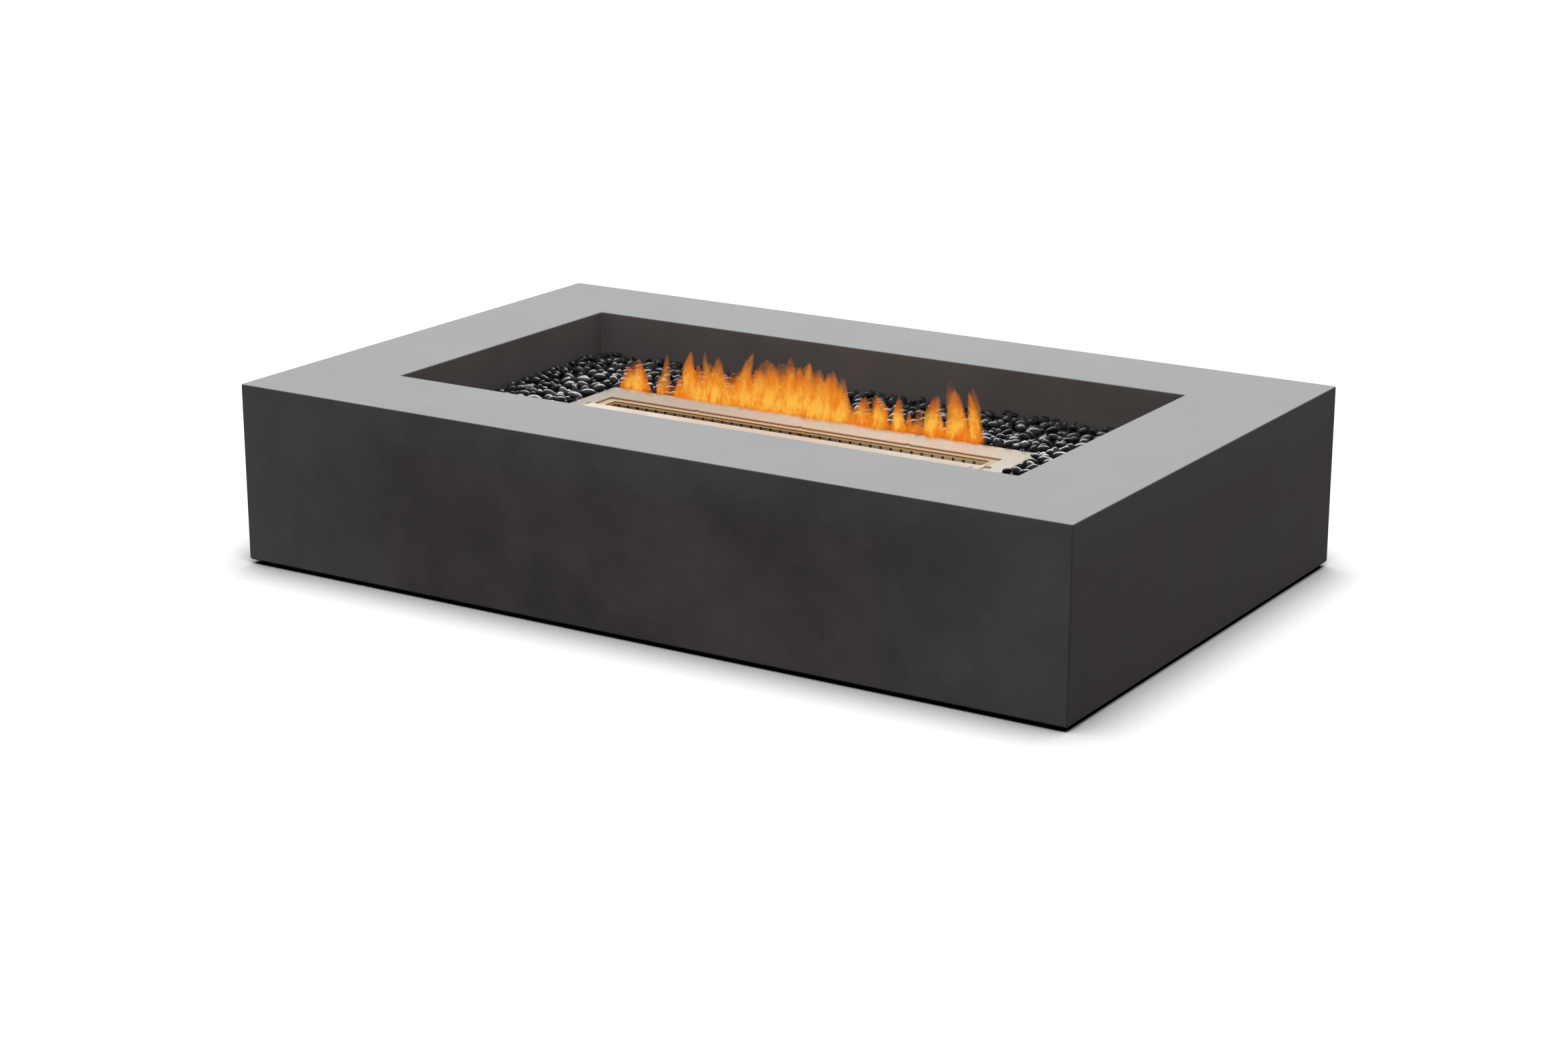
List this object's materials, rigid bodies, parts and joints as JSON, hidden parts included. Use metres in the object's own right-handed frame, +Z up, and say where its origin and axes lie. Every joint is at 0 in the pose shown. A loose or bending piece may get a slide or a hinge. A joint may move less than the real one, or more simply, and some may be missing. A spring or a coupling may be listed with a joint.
{
  "type": "fire pit",
  "caption": "Low rectangular cast fire pit with a wide flat rim, a sunken pebble bed and a lift-out linear ethanol burner with a hinged lid.",
  "frame": {"origin": "on the ground under the middle of the block", "axes": "+X along the long side, +Y towards the back, +Z up"},
  "size_m": [1.65, 1.02, 0.333],
  "materials": {
    "concrete": "smooth matte cast concrete, charcoal walls with a pale grey top face",
    "rubber": "matte black",
    "fastener_steel": "plain stainless",
    "brass": "turned brass",
    "tray_steel": "heat-proof black paint",
    "pebble": "polished black river stone",
    "stainless": "brushed stainless steel, warm from the flame",
    "heated_steel": "stainless steel browned by heat",
    "ceramic_wool": "fibrous white mat"
  },
  "bodies": {
    "root": {"concrete_shell": "concrete", "foot_pads": "rubber", "foot_studs": "fastener_steel", "foot_inserts": "brass", "ledge_strip_front": "rubber", "ledge_strip_back": "rubber", "ledge_strip_left": "rubber", "ledge_strip_right": "rubber", "pebble_tray": "tray_steel", "pebbles_front": "pebble", "pebbles_back": "pebble", "pebbles_left": "pebble", "pebbles_right": "pebble"},
    "burner": {"burner_top_plate": "stainless", "throat_sheet_front": "stainless", "throat_sheet_back": "stainless", "throat_sheet_left": "stainless", "throat_sheet_right": "stainless", "comb_front": "heated_steel", "comb_back": "heated_steel", "throat_end_left": "heated_steel", "throat_end_right": "heated_steel", "tank_trough": "stainless", "tank_end_left": "stainless", "tank_end_right": "stainless", "wool_pad": "ceramic_wool", "wool_retainer": "heated_steel", "hinge_ear_left": "stainless", "hinge_ear_right": "stainless", "hinge_pin_left": "fastener_steel", "hinge_pin_right": "fastener_steel"},
    "lid": {"burner_lid": "stainless"}
  },
  "joints": [
    {"name": "burner_lift", "type": "slide", "parent": "root", "child": "burner", "axis": [0, 0, 1], "range_m": [0, 0.2]},
    {"name": "lid_hinge", "type": "hinge", "parent": "burner", "child": "lid", "pos_m": [0, -0.022, 0.248], "axis": [-1, 0, 0], "range_deg": [0, 180]}
  ]
}
